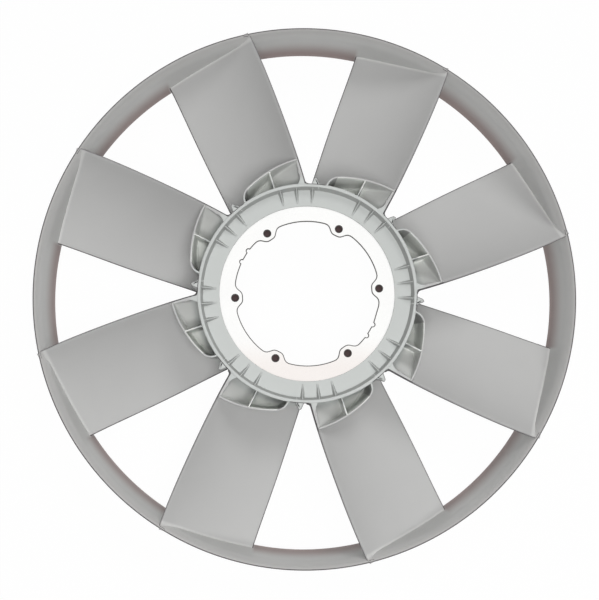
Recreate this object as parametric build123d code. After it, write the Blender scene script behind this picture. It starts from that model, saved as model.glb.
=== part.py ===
from build123d import *
import os
from math import cos, radians, sin, tan

# Ring fan for an engine cooling drive, lying on the rear edge of its ring.
# Millimetres and degrees. Z is the fan's axis, and Z = 0 is the ring's rear edge.
# One blade is drawn with its stacking line along +Y: +X is its front (high) edge
# and -X its rear (low) edge. Hub angles run anticlockwise from that line.

# Ring
blade_count = 8
lip_radius = 375.0
flare_reach = 8.5
ring_depth = 85.0
ring_wall = 3.0
flare_height = 24.0
flare_steps = 4

# Hub
rim_wall = 5.5
rim_rise = 9.0
rim_edge_chamfer = 1.0
skirt_wall = 5.0
hub_back_height = 4.0
floor_width = 24.0
floor_drop = 12.0
floor_slope_drop = 1.5
floor_thickness = 12.0

# Mounting plate, held in the hub floor
plate_thickness = 4.0
plate_land = 31.5
plate_cover = 1.5
plate_grip = 10.0
plate_clearance = 0.15
bolt_count = 6
bolt_circle_radius = 100.0
bolt_hole_radius = 4.5
bolt_start_angle = 3.9
lug_reach = 10.5
lug_foot_depth = 2.0
lug_tip_half_angle = 4.0
lug_foot_half_angle = 10.0
lug_round = 9.0
nick_angles = (-25.6, -35.6)
nick_radius = 2.6
nick_depth = 0.6

# Blades. Each section stands at a share of the span from the hub's rim to the lip, just
# past both at the ends. Its row holds the reach of the front and rear edges, their rise
# over the ring's lip, and the thickness.
turn_of_first_blade = 21.9
camber_angle = 45.0
section_span_shares = (-0.09, 0.16, 0.405, 0.69, 1.06)
blade_sections = (
    (51.5, 55.5, 5.0, -78.5, 5.2),
    (57.5, 59.5, 3.0, -76.0, 4.4),
    (60.5, 64.0, 1.0, -72.5, 3.9),
    (62.0, 68.0, -0.5, -68.0, 3.6),
    (58.5, 75.0, -2.0, -62.5, 3.4),
)
tip_nub_reach = 1.4
tip_nub_height = 5.0

# Ribs on the hub's floor
gusset_angles = (-24.7, -15.7, -6.7)
gusset_thickness = 3.0
gusset_foot_inset = 4.5
gusset_foot_height = 0.8
gusset_foot_depth = 1.0
gusset_drop = 2.0

# The pocket and the corner webs at each blade's root. Their points in plan are given by
# distances outside the rim and angles from the stacking line. A web's points are its four
# corners, starting at a foot, and then the point that its hollow side passes through on
# its way back to that foot.
cell_rib_angle = -4.25
cell_rib_thickness = 2.8
pocket_wall_thickness = 3.0
pocket_distances = (34.4, 25.2, 14.5, -0.7)
pocket_angles = (-17.2, -4.8, 8.2, 12.9)
pocket_drop = 0.8
rear_web_distances = (-1.5, -3.0, 8.0, 10.3, 3.0)
rear_web_angles = (14.6, 21.6, 19.9, 18.4, 17.4)
front_web_distances = (-1.75, -2.75, 17.0, 16.8, 5.0)
front_web_angles = (-21.8, -18.0, -17.0, -18.5, -19.3)
front_web_depth = 3.0

# Heights and radii worked out from the values above. The bolt holes stand on the
# circle of the plate's bore, and the hub is built outwards from the plate.
throat_radius = lip_radius - flare_reach
bore_radius = bolt_circle_radius
plate_radius = bolt_circle_radius + plate_land
plate_window_radius = plate_radius - plate_grip
rim_radius = plate_window_radius + floor_width + rim_wall
rim_height = ring_depth + rim_rise
floor_height = rim_height - floor_drop
window_height = floor_height - floor_slope_drop
plate_top = window_height - plate_cover
plate_base = plate_top - plate_thickness
rib_height = rim_height - pocket_drop
root_radius = rim_radius - rim_wall / 2
above_all = rim_height + ring_depth


def polar(radius, angle):
    """A point in plan, its angle measured anticlockwise from the blade's stacking line."""
    return (-radius * sin(radians(angle)), radius * cos(radians(angle)))


def rim_points(distances, angles):
    """Points in plan, from their distances outside the rim and their angles."""
    return [polar(rim_radius + distance, angle) for distance, angle in zip(distances, angles)]


def copies(shape, count, first_angle=0.0):
    """Equal copies of a shape round the fan's axis."""
    return [shape.rotate(Axis.Z, first_angle + 360.0 * index / count) for index in range(count)]


def turned(outline):
    """A solid of revolution from a face drawn in radius and height."""
    return revolve(Plane.XZ * outline, Axis.Z)


def closed_face(points):
    """A flat face from its corners."""
    return make_face(Polyline(*points, close=True))


def prism(outline, base, top):
    """An upright solid between two heights."""
    return extrude(Pos(0, 0, base) * outline, top - base)


# Ring

def ring_wall_line(inset):
    """The wall from the rear edge to the bell mouth's lip, set back into the wall by an inset."""
    reach = flare_reach - inset
    height = flare_height - inset
    points = [(throat_radius + inset, 0)]
    for step in range(flare_steps + 1):
        angle = radians(90 * step / flare_steps)
        radius = lip_radius - reach * cos(angle)
        points.append((radius, ring_depth - flare_height + height * sin(angle)))
    return points


def make_ring():
    return turned(closed_face(ring_wall_line(0) + ring_wall_line(ring_wall)[::-1]))


# Hub

def make_hub():
    """Rim, floor and skirt in one section, with the plate's seat cut out of the floor."""
    rim_inner = rim_radius - rim_wall
    skirt_inner = rim_radius - skirt_wall
    chamfer_height = rim_height - rim_edge_chamfer
    shell = turned(closed_face([
        (rim_radius, hub_back_height),
        (rim_radius, chamfer_height),
        (rim_radius - rim_edge_chamfer, rim_height),
        (rim_inner + rim_edge_chamfer, rim_height),
        (rim_inner, chamfer_height),
        (rim_inner, floor_height),
        (plate_window_radius, window_height),
        (plate_window_radius, floor_height - floor_thickness),
        (skirt_inner, floor_height - floor_thickness),
        (skirt_inner, hub_back_height),
    ]))
    seat = prism(Circle(plate_radius + plate_clearance), plate_base, plate_top)
    return shell - seat


def make_gusset(angle):
    """A small triangular rib from the rim down to the floor's inner part."""
    inner_radius = plate_window_radius + gusset_foot_inset
    outline = closed_face([
        (inner_radius, window_height - gusset_foot_depth),
        (inner_radius, window_height + gusset_foot_height),
        (root_radius, rim_height - gusset_drop),
        (root_radius, window_height - gusset_foot_depth),
    ])
    rib = extrude(Plane.XZ * outline, gusset_thickness / 2, both=True)
    return rib.rotate(Axis.Z, 90 + angle)


# Blade

class Section:
    """A blade section in its own plane: x towards the front edge, y upwards."""

    def __init__(self, span_share, row):
        front_reach, rear_reach, front_rise, rear_rise, thickness = row
        distance = root_radius + span_share * (lip_radius - root_radius)
        self.plane = Plane(origin=(0, distance, 0), x_dir=(1, 0, 0), z_dir=(0, -1, 0))
        self.front = Vector(front_reach, ring_depth + front_rise)
        self.rear = Vector(-rear_reach, ring_depth + rear_rise)
        self.half = thickness / 2
        chord = self.rear - self.front
        self.along = chord.normalized()
        below = Vector(-self.along.Y, self.along.X)
        sag = chord.length / 2 * tan(radians(camber_angle / 4))
        middle = (self.front + self.rear) / 2
        self.crown = middle + below * sag
        self.centre = middle - below * (chord.length / 2 / tan(radians(camber_angle / 2)))

    def line(self, offset=0.0):
        """The camber arc, moved towards its hollow side by an offset."""
        return ThreePointArc([
            point + (self.centre - point).normalized() * offset
            for point in (self.front, self.crown, self.rear)
        ])

    def face(self):
        """The section, with square front and rear edges."""
        upper = self.line(self.half)
        lower = self.line(-self.half)
        ends = [Line(upper @ 0, lower @ 0), Line(upper @ 1, lower @ 1)]
        return (self.plane * make_face(Curve() + [upper, lower] + ends)).face()

    def face_above(self):
        """The area over the camber arc, up to well above the hub."""
        arc = self.line()
        walls = Polyline(arc @ 1, (self.rear.X, above_all), (self.front.X, above_all), arc @ 0)
        return (self.plane * make_face(Curve() + [arc, walls])).face()


def blade_room():
    """The space a blade may fill: from the hub's skirt to the middle of the ring's wall."""
    wall = ring_wall_line(ring_wall / 2)
    top = wall[-1][1]
    nub_base = ring_depth - tip_nub_height
    nub_reach = lip_radius + tip_nub_reach
    body = closed_face(wall + [(lip_radius, above_all), (root_radius, above_all), (root_radius, 0)])
    nub = closed_face([
        (throat_radius, nub_base), (nub_reach, nub_base), (nub_reach, top), (throat_radius, top),
    ])
    return turned(body) + turned(nub)


def make_blade():
    """One blade with its root pocket, ribs and corner webs."""
    sections = [Section(*row) for row in zip(section_span_shares, blade_sections)]
    blade = loft([section.face() for section in sections])
    over_blade = loft([section.face_above() for section in sections])
    ribs = pocket_wall() + cell_rib() + rear_web() + front_web(0)
    front_web_edge = front_web(ring_depth - front_web_depth)
    return (blade + (ribs & over_blade) + front_web_edge) & blade_room()


def pocket_wall():
    """The curved wall that closes the root pocket, from the front edge round to the rim."""
    front, middle, bend_start, foot = rim_points(pocket_distances, pocket_angles)
    sweep = ThreePointArc(front, middle, bend_start)
    bend = TangentArc(sweep @ 1, foot, tangent=sweep % 1)
    path = Wire([sweep.edge(), bend.edge()])
    band = path.offset_2d(pocket_wall_thickness / 2)
    return prism(make_face(band), 0, rib_height)


def cell_rib():
    """The radial rib that parts the pocket into two cells."""
    length = rim_radius + pocket_distances[1] - root_radius
    strip = Pos(0, root_radius + length / 2) * Rectangle(cell_rib_thickness, length)
    return prism(strip, 0, rib_height).rotate(Axis.Z, cell_rib_angle)


def web_outline(distances, angles):
    """A corner web in plan: three straight sides and a hollow one."""
    *corners, hollow = rim_points(distances, angles)
    curve = ThreePointArc(corners[-1], hollow, corners[0])
    return make_face(Curve() + [Polyline(*corners), curve])


def rear_web():
    """The upright web at the rear edge's root."""
    return prism(web_outline(rear_web_distances, rear_web_angles), 0, rib_height)


def front_web(base):
    """The flat web that runs the front edge out into the rim, from a height up."""
    return prism(web_outline(front_web_distances, front_web_angles), base, rib_height)


def make_moulding():
    """The whole one-piece moulding: ring, hub, blades and ribs."""
    sector = [make_blade()] + [make_gusset(angle) for angle in gusset_angles]
    pieces = [copy for shape in sector for copy in copies(shape, blade_count, turn_of_first_blade)]
    return Part() + ([make_ring(), make_hub()] + pieces)


# Mounting plate

def lug(angle):
    """The inward swelling of the plate round one bolt hole."""
    foot_radius = bore_radius + lug_foot_depth
    tip_radius = bore_radius - lug_reach
    corners = [
        (foot_radius, -lug_foot_half_angle), (tip_radius, -lug_tip_half_angle),
        (tip_radius, lug_tip_half_angle), (foot_radius, lug_foot_half_angle),
    ]
    return closed_face(polar(*corner) for corner in corners).rotate(Axis.Z, angle - 90)


def bore_outline():
    """The scalloped bore: a circle, less a lug at each bolt, plus two pairs of small nicks."""
    bore = Circle(bore_radius)
    for index in range(bolt_count):
        bore -= lug(bolt_start_angle + 360.0 * index / bolt_count)
    bore = fillet(bore.vertices(), lug_round)
    for angle in nick_angles:
        for side in (0, 180):
            nick = Pos(bore_radius + nick_depth, 0) * Circle(nick_radius)
            bore += nick.rotate(Axis.Z, angle + side)
    return bore


def make_plate():
    """The sheet steel ring with its bolt holes."""
    disc = Circle(plate_radius) - bore_outline()
    holes = PolarLocations(bolt_circle_radius, bolt_count, bolt_start_angle) * Circle(bolt_hole_radius)
    return prism(disc - holes, plate_base, plate_top)


os.makedirs("parts", exist_ok=True)
export_step(make_moulding(), "parts/fan_moulding.step")
export_step(make_plate(), "parts/mounting_plate.step")
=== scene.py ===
from math import atan2, cos, degrees, hypot, pi, radians, sin, sqrt, tan

import bpy
import numpy as np
from mathutils import Matrix, Vector


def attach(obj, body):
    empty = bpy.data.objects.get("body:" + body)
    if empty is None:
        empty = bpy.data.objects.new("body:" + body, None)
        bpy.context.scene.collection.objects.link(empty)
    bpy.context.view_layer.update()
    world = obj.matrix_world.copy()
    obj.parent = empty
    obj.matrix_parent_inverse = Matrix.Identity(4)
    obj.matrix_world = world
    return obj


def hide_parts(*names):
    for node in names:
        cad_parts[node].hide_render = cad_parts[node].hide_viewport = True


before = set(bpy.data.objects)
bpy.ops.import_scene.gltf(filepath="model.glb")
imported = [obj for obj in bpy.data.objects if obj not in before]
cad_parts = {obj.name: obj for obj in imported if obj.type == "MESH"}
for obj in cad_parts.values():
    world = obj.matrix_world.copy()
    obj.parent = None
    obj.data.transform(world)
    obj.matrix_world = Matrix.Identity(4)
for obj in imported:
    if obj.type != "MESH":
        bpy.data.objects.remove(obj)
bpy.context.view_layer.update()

# Sizes are in millimetres and angles in degrees, and MM turns a size into metres. Z = 0 is
# the ring's rear edge, which the fan lies on. The main sizes are those of the solids. A
# blade is shaped with its stacking line along +Y and its front edge on +X, and angles at
# the blade's root run anticlockwise from that line.
MM = 0.001
DEGREE = radians(1.0)

# Ring
LIP_RADIUS = 375.0
FLARE_REACH = 8.5
THROAT_RADIUS = LIP_RADIUS - FLARE_REACH
RING_DEPTH = 85.0
RING_WALL = 3.0
FLARE_HEIGHT = 24.0

# Mounting plate, whose bolt holes stand on the circle of its bore
BOLT_COUNT = 6
BOLT_CIRCLE_RADIUS = 100.0
BORE_RADIUS = BOLT_CIRCLE_RADIUS
PLATE_LAND = 31.5
PLATE_RADIUS = BOLT_CIRCLE_RADIUS + PLATE_LAND
PLATE_THICKNESS = 4.0
BOLT_HOLE_RADIUS = 4.5
BOLT_START_ANGLE = 3.9
LUG_REACH = 10.5
LUG_TIP_HALF_ANGLE = 4.0
LUG_FOOT_HALF_ANGLE = 9.04
LUG_ROUND = 9.0
NICK_ANGLES = (-25.6, -35.6)
NICK_RADIUS = 2.6
NICK_DEPTH = 0.6

# Hub, built outwards from the plate and down from its rim
PLATE_GRIP = 10.0
PLATE_CLEARANCE = 0.15
PLATE_COVER = 1.5
FLOOR_WIDTH = 24.0
FLOOR_DROP = 12.0
FLOOR_SLOPE_DROP = 1.5
FLOOR_THICKNESS = 12.0
RIM_WALL = 5.5
RIM_RISE = 9.0
SKIRT_WALL = 5.0
HUB_BACK_HEIGHT = 4.0
BLADE_BITE = 2.0
RIB_DROP = 0.8
WINDOW_RADIUS = PLATE_RADIUS - PLATE_GRIP
PLATE_SEAT_RADIUS = PLATE_RADIUS + PLATE_CLEARANCE
RIM_INNER_RADIUS = WINDOW_RADIUS + FLOOR_WIDTH
RIM_RADIUS = RIM_INNER_RADIUS + RIM_WALL
SKIRT_INNER_RADIUS = RIM_RADIUS - SKIRT_WALL
ROOT_RADIUS = RIM_RADIUS - BLADE_BITE
RIM_HEIGHT = RING_DEPTH + RIM_RISE
FLOOR_HEIGHT = RIM_HEIGHT - FLOOR_DROP
WINDOW_HEIGHT = FLOOR_HEIGHT - FLOOR_SLOPE_DROP
FLOOR_UNDERSIDE = FLOOR_HEIGHT - FLOOR_THICKNESS
PLATE_TOP = WINDOW_HEIGHT - PLATE_COVER
PLATE_BASE = PLATE_TOP - PLATE_THICKNESS
RIB_HEIGHT = RIM_HEIGHT - RIB_DROP

# Blades, and their sections: the distances from the axis, the reach of the front and rear
# edges, the rise of those edges over the ring's lip, and the thickness
BLADE_COUNT = 8
TURN_OF_FIRST_BLADE = 21.9
CAMBER_ANGLE = 45.0
SECTION_DISTANCES = (128.0, 185.0, 240.0, 305.0, 388.0)
FRONT_REACHES = (51.5, 57.5, 60.5, 62.0, 58.5)
REAR_REACHES = (55.5, 59.5, 64.0, 68.0, 75.0)
FRONT_RISES = (5.0, 3.0, 1.0, -0.5, -2.0)
REAR_RISES = (-78.5, -76.0, -72.5, -68.0, -62.5)
THICKNESSES = (5.2, 4.4, 3.9, 3.6, 3.4)

# Pocket and webs at a blade's root, as (distance outside the rim, angle) points. The rear
# web's points are a foot, its two tip corners, the middle of its hollow side and the other
# foot. The front web has a curve on either side.
POCKET_WALL_POINTS = ((34.4, -17.2), (25.2, -4.8), (14.5, 8.2), (-0.7, 12.9))
REAR_WEB_POINTS = ((-3.0, 21.6), (8.0, 19.9), (10.3, 18.4), (3.0, 17.4), (-1.5, 14.6))
FRONT_WEB_GAP_SIDE = ((16.8, -18.5), (5.0, -19.3), (-1.75, -21.8))
FRONT_WEB_POCKET_SIDE = ((-2.75, -15.5), (4.0, -17.6), (17.0, -17.2))
CELL_RIB_ANGLE = -4.25
GUSSET_ANGLES = (-24.7, -15.7, -6.7)

# Faces that meet at less than these angles are shaded as one smooth surface.
PLASTIC_SMOOTH_ANGLE = 38.0
METAL_SMOOTH_ANGLE = 30.0

# Places this close together count as one when faces and vertices are picked, and vertices
# within the weld distance, in metres, are merged.
NEAR = 0.1
WELD_DISTANCE = 1e-6


# ---------------------------------------------------------------- modelling helpers

def clear_selection():
    """Leaves edit mode and selects nothing."""
    if bpy.context.object and bpy.context.object.mode != "OBJECT":
        bpy.ops.object.mode_set(mode="OBJECT")
    bpy.ops.object.select_all(action="DESELECT")


def pick(piece):
    """Makes one piece the selected and active one."""
    clear_selection()
    piece.select_set(True)
    bpy.context.view_layer.objects.active = piece


def name_piece(piece, name):
    """Names a piece and its mesh."""
    piece.name = name
    piece.data.name = name
    return piece


def newest(name):
    """Names the primitive that was just added, with its place put into its mesh."""
    bpy.ops.object.transform_apply(location=True, rotation=True, scale=True)
    return name_piece(bpy.context.object, name)


def places(piece):
    """Where a piece's vertices are, in millimetres."""
    return [vertex.co / MM for vertex in piece.data.vertices]


def mark_edge_shade(piece, amounts):
    """Notes how far each vertex lies on an outer edge, where painted shade darkens the turn."""
    notes = piece.data.attributes.new("painted_edge_shade", "FLOAT", "POINT")
    for note, amount in zip(notes.data, amounts):
        note.value = float(amount)


def face_outwards(weld=False):
    """Points all faces of the piece in edit mode outwards. A weld merges its seams first."""
    bpy.ops.mesh.select_all(action="SELECT")
    if weld:
        bpy.ops.mesh.remove_doubles(threshold=WELD_DISTANCE)
    bpy.ops.mesh.normals_make_consistent(inside=False)


def skin(name, around, along, place, on_edge=None):
    """A closed tube whose loops are laid by place(loop point, station), both counted from 0.

    The upright edges of a plain cylinder are cut into stations, and then each vertex is
    put in its place. on_edge(loop point) says how much painted edge shade such points get."""
    clear_selection()
    bpy.ops.mesh.primitive_cylinder_add(
        vertices=around, radius=1.0, depth=1.0, end_fill_type="NOTHING")
    piece = newest(name)
    bpy.ops.object.mode_set(mode="EDIT")
    bpy.ops.mesh.select_mode(type="EDGE")
    bpy.ops.mesh.select_all(action="DESELECT")
    bpy.ops.object.mode_set(mode="OBJECT")
    for edge in piece.data.edges:
        low, high = (piece.data.vertices[index].co for index in edge.vertices)
        edge.select = abs(low.z - high.z) > 0.5
    bpy.ops.object.mode_set(mode="EDIT")
    bpy.ops.mesh.subdivide(number_cuts=along - 2)
    bpy.ops.object.mode_set(mode="OBJECT")
    loops = []
    for vertex in piece.data.vertices:
        loop = round(atan2(vertex.co.y, vertex.co.x) / (2 * pi) * around) % around
        station = round((vertex.co.z + 0.5) * (along - 1))
        vertex.co = Vector(place(loop, station)) * MM
        loops.append(loop)
    if on_edge:
        mark_edge_shade(piece, [on_edge(loop) for loop in loops])
    bpy.ops.object.mode_set(mode="EDIT")
    bpy.ops.mesh.select_mode(type="EDGE")
    bpy.ops.mesh.select_all(action="DESELECT")
    bpy.ops.mesh.select_non_manifold(extend=False, use_wire=False, use_multi_face=False,
                                     use_non_contiguous=False, use_verts=False)
    bpy.ops.mesh.fill(use_beauty=True)
    face_outwards()
    bpy.ops.object.mode_set(mode="OBJECT")
    return piece


def turned(name, outline, segments):
    """A closed outline of (radius, height) points, drawn round the axis."""
    clear_selection()
    bpy.ops.mesh.primitive_circle_add(vertices=len(outline), radius=1.0, fill_type="NOTHING")
    piece = newest(name)
    for vertex, (radius, height) in zip(piece.data.vertices, outline):
        vertex.co = (radius * MM, 0.0, height * MM)
    bpy.ops.object.mode_set(mode="EDIT")
    bpy.ops.mesh.select_all(action="SELECT")
    bpy.ops.mesh.spin(steps=segments, angle=2 * pi, center=(0, 0, 0), axis=(0, 0, 1))
    face_outwards(weld=True)
    bpy.ops.object.mode_set(mode="OBJECT")
    return piece


def turned_copies(piece, count, first_angle):
    """Copies of a piece round the axis, each with its own mesh. The piece is the first."""
    made = [piece]
    for _ in range(count - 1):
        pick(piece)
        bpy.ops.object.duplicate(linked=False)
        made.append(bpy.context.object)
    for index, one in enumerate(made):
        pick(one)
        one.rotation_euler = (0, 0, radians(first_angle + 360.0 * index / count))
        bpy.ops.object.transform_apply(location=False, rotation=True, scale=False)
    return made


def joined(name, pieces):
    """One object out of several."""
    clear_selection()
    for piece in pieces:
        piece.select_set(True)
    bpy.context.view_layer.objects.active = pieces[0]
    bpy.ops.object.join()
    return name_piece(bpy.context.object, name)


def smooth(piece, angle):
    """Smooth shading, with edges sharper than the angle left crisp."""
    pick(piece)
    bpy.ops.object.shade_smooth_by_angle(angle=radians(angle))


# ---------------------------------------------------------------- plans and outlines

def between(start, end, share):
    """A value that lies a share of the way from start to end."""
    return start + (end - start) * share


def polar(radius, angle):
    """A point in plan, its angle measured anticlockwise from the blade's stacking line."""
    return (-radius * sin(radians(angle)), radius * cos(radians(angle)))


def rim_points(points):
    """Places in plan of (distance outside the rim, angle) points."""
    return [polar(RIM_RADIUS + distance, angle) for distance, angle in points]


def at_angle(radius, angle):
    """A point in plan, its angle measured anticlockwise from +X."""
    return (radius * cos(radians(angle)), radius * sin(radians(angle)))


def swung(arm, other, share):
    """An arm in plan turned a share of the way to another."""
    turn = -arm.angle_signed(other) * share
    return Vector((arm.x * cos(turn) - arm.y * sin(turn), arm.x * sin(turn) + arm.y * cos(turn)))


def arc(centre, start, end, steps):
    """Points along the shorter arc round a centre, both ends among them."""
    return [tuple(centre + swung(start - centre, end - centre, step / steps))
            for step in range(steps + 1)]


def arc_through(start, middle, end, steps):
    """Points along the arc through three points."""
    start, middle, end = Vector(start), Vector(middle), Vector(end)
    first, second = middle - start, end - start
    cross = 2 * (first.x * second.y - first.y * second.x)
    to_centre = Vector((
        (second.y * first.length_squared - first.y * second.length_squared) / cross,
        (first.x * second.length_squared - second.x * first.length_squared) / cross,
    ))
    return arc(start + to_centre, start, end, steps)


def carried_on(path, end, steps):
    """A path, and then the arc that leaves it without a kink and runs to another point."""
    start, end = Vector(path[-1]), Vector(end)
    direction = (start - Vector(path[-2])).normalized()
    side = Vector((-direction.y, direction.x))
    chord = end - start
    centre = start + side * (chord.length_squared / (2 * chord.dot(side)))
    return path + arc(centre, start, end, steps)[1:]


def corner_round(before, corner, after, radius, steps=4):
    """The points that round one corner of an outline."""
    corner, before, after = Vector(corner), Vector(before), Vector(after)
    back, ahead = (before - corner).normalized(), (after - corner).normalized()
    half = back.angle(ahead) / 2
    reach = radius / tan(half)
    centre = corner + (back + ahead).normalized() * (radius / sin(half))
    return arc(centre, corner + back * reach, corner + ahead * reach, steps)


def rounded(outline):
    """An outline of (x, y, corner radius) rows with its corners rounded."""
    points = []
    for index, (x, y, radius) in enumerate(outline):
        before = outline[index - 1][:2]
        after = outline[(index + 1) % len(outline)][:2]
        if radius:
            points += corner_round(before, (x, y), after, radius)
        else:
            points.append((x, y))
    return points


def wall_end(before, first, second, after, radius):
    """The two rounded corners that end a wall."""
    return corner_round(before, first, second, radius) + corner_round(first, second, after, radius)


# ---------------------------------------------------------------- ring

RING_SEGMENTS = 384
FLARE_STEPS = 14
WALL_LOOP_HEIGHTS = [15.0, 30.0, 45.0]
LIP_ROUND = 1.4
FOOT_ROUND = 0.9


def throat_at(height):
    """The ring's inner radius at a height."""
    rise = (height - RING_DEPTH + FLARE_HEIGHT) / FLARE_HEIGHT
    rise = min(max(rise, 0.0), 1.0)
    return LIP_RADIUS - FLARE_REACH * sqrt(1 - rise * rise)


def flare(inset):
    """The bell mouth's curve from the straight wall to the lip."""
    points = []
    for step in range(FLARE_STEPS + 1):
        angle = radians(90.0 * step / FLARE_STEPS)
        height = RING_DEPTH - FLARE_HEIGHT + (FLARE_HEIGHT - inset) * sin(angle)
        points.append((LIP_RADIUS - (FLARE_REACH - inset) * cos(angle), height))
    return points


def ring_outline():
    """The wall's outline: its foot, its inner side, its lip and its outer side."""
    inner, outer = THROAT_RADIUS, THROAT_RADIUS + RING_WALL
    top, underside = RING_DEPTH, RING_DEPTH - RING_WALL
    foot = wall_end((outer, top), (outer, 0.0), (inner, 0.0), (inner, top), FOOT_ROUND)
    lip = wall_end((inner, top), (LIP_RADIUS, top), (LIP_RADIUS, underside), (inner, underside),
                   LIP_ROUND)
    inner_side = [(inner, height) for height in WALL_LOOP_HEIGHTS] + flare(0.0)[:-2]
    outer_side = [(outer, height) for height in WALL_LOOP_HEIGHTS] + flare(RING_WALL)[:-1]
    return foot + inner_side + lip + outer_side[::-1]


def make_ring():
    """The flared outer ring, with its lip's turn marked for painted shade."""
    ring = turned("ring", ring_outline(), RING_SEGMENTS)
    start_of_turn = LIP_RADIUS - LIP_ROUND - NEAR / 2
    mark_edge_shade(ring, [hypot(place.x, place.y) > start_of_turn for place in places(ring)])
    return ring


# ---------------------------------------------------------------- hub

HUB_SEGMENTS = 288
BACK_ROUND = 1.0
RIM_ROUND = 1.5
RIM_INNER_ROUND = 1.1
FLOOR_ROUND = 1.0
WINDOW_ROUND = 0.5
UNDERSIDE_ROUND = 0.8
SKIRT_ROUND = 3.0

# How far the rim's inner face leans out at its top and in at its foot
RIM_LEAN_OUT = 0.9
RIM_LEAN_IN = 1.8

# The rim's edge marked for painted shade: its depth and width, the depth of a loop that keeps
# the mark off the hub's side, and the angles from a stacking line between which it faces a gap
EDGE_DEPTH = 2.0
EDGE_WIDTH = 1.0
EDGE_LOOP_DEPTH = 4.0
GAP_ANGLES = (14.0, 24.0)


def hub_outline():
    """Up the hub's outside, over the rim and the floor, and back below them."""
    return rounded([
        (RIM_RADIUS, HUB_BACK_HEIGHT, BACK_ROUND),
        (RIM_RADIUS, RIM_HEIGHT - EDGE_LOOP_DEPTH, 0),
        (RIM_RADIUS, RIM_HEIGHT, RIM_ROUND),
        (RIM_INNER_RADIUS + RIM_LEAN_OUT, RIM_HEIGHT, RIM_INNER_ROUND),
        (RIM_INNER_RADIUS - RIM_LEAN_IN, FLOOR_HEIGHT, FLOOR_ROUND),
        (WINDOW_RADIUS, WINDOW_HEIGHT, WINDOW_ROUND),
        (WINDOW_RADIUS, PLATE_TOP, 0),
        (PLATE_SEAT_RADIUS, PLATE_TOP, 0),
        (PLATE_SEAT_RADIUS, PLATE_BASE, 0),
        (WINDOW_RADIUS, PLATE_BASE, 0),
        (WINDOW_RADIUS, FLOOR_UNDERSIDE, UNDERSIDE_ROUND),
        (SKIRT_INNER_RADIUS, FLOOR_UNDERSIDE, SKIRT_ROUND),
        (SKIRT_INNER_RADIUS, HUB_BACK_HEIGHT, BACK_ROUND),
    ])


def in_gap(place):
    """Whether a place on the hub faces the gap between two blades."""
    angle = degrees(atan2(place.y, place.x)) - 90.0 - TURN_OF_FIRST_BLADE
    return GAP_ANGLES[0] < angle % (360.0 / BLADE_COUNT) < GAP_ANGLES[1]


def on_rim_edge(place):
    """Whether a place is on the outer edge of the hub's rim."""
    return place.z > RIM_HEIGHT - EDGE_DEPTH and hypot(place.x, place.y) > RIM_RADIUS - EDGE_WIDTH


def make_hub():
    """The hub's rim, skirt and floor, with the rim's edge marked for painted shade where it faces a
    gap.
    """
    hub = turned("hub", hub_outline(), HUB_SEGMENTS)
    mark_edge_shade(hub, [on_rim_edge(place) and in_gap(place) for place in places(hub)])
    return hub


# ---------------------------------------------------------------- blade

class BladeForm:
    """The blade's sections, run smoothly along the span."""

    def __init__(self):
        def along(values):
            return np.poly1d(np.polyfit(SECTION_DISTANCES, values, len(values) - 1))
        self.front_reach = along(FRONT_REACHES)
        self.rear_reach = along(REAR_REACHES)
        self.front_rise = along(FRONT_RISES)
        self.rear_rise = along(REAR_RISES)
        self.thickness = along(THICKNESSES)

    def camber(self, distance):
        """Ends, centre and radius of the camber arc at a distance from the axis."""
        front = Vector((self.front_reach(distance), RING_DEPTH + self.front_rise(distance)))
        rear = Vector((-self.rear_reach(distance), RING_DEPTH + self.rear_rise(distance)))
        chord = rear - front
        below = Vector((-chord.y, chord.x)).normalized()
        middle = (front + rear) / 2
        centre = middle - below * (chord.length / 2 / tan(radians(CAMBER_ANGLE / 2)))
        return front, rear, centre, (front - centre).length

    def point(self, share, distance):
        """A point of the camber arc and its direction towards the hollow side.

        Half a thickness is left at either end for the rounded edge."""
        front, rear, centre, radius = self.camber(distance)
        inset = self.thickness(distance) / 2 / (radius * radians(CAMBER_ANGLE))
        arm = swung(front - centre, rear - centre, inset + share * (1 - 2 * inset))
        return centre + arm, -arm.normalized()

    def height(self, x, y):
        """The height of the blade's upper face at a place in plan."""
        _, _, centre, radius = self.camber(y)
        radius -= self.thickness(y) / 2
        return centre.y - sqrt(max(radius * radius - (x - centre.x) ** 2, 0.0))


blade_form = BladeForm()

# The blade's skin has stations along the span, close together in the root's fillet and
# near the ring, and at each station a loop: the upper face from front to rear, the round
# of the rear edge, the lower face back to the front, and the round of the front edge.
SPAN_START = 150.0
SPAN_LENGTH = 220.0
ROOT_STATIONS = [0.0, 1.2, 2.0, 2.5, 3.1, 3.9, 4.9, 6.0, 7.4, 10.0, 14.0]
TIP_STATIONS = [0.0, 1.0, 1.5, 2.1, 2.9, 3.8, 5.0, 6.6, 9.5, 14.0]
MIDDLE_STATIONS = 20
CHORD_STEPS = 34
EDGE_STEPS = 5
FACE_POINTS = CHORD_STEPS + 1
LOOP_POINTS = 2 * (FACE_POINTS + EDGE_STEPS)
ROOT_FILLET = 5.0
RING_BITE = 1.2
FRONT_EDGE_SHADE_FADE = [0.8, 0.45, 0.2]
STATION_PASSES = 5


def span_shares():
    """Shares of the span at which the blade's stations lie."""
    root = [reach / SPAN_LENGTH for reach in ROOT_STATIONS]
    tip = [1 - reach / SPAN_LENGTH for reach in TIP_STATIONS[::-1]]
    return root + list(np.linspace(root[-1], tip[0], MIDDLE_STATIONS + 2)[1:-1]) + tip


SPAN_SHARES = span_shares()


def fillet_swell(clearance, radius):
    """How far a fillet stands off at a clearance from the wall that it runs into."""
    if radius <= 0.0 or clearance >= radius:
        return 0.0
    gap = max(clearance, 0.0)
    return radius - sqrt(radius * radius - (radius - gap) ** 2)


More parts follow.
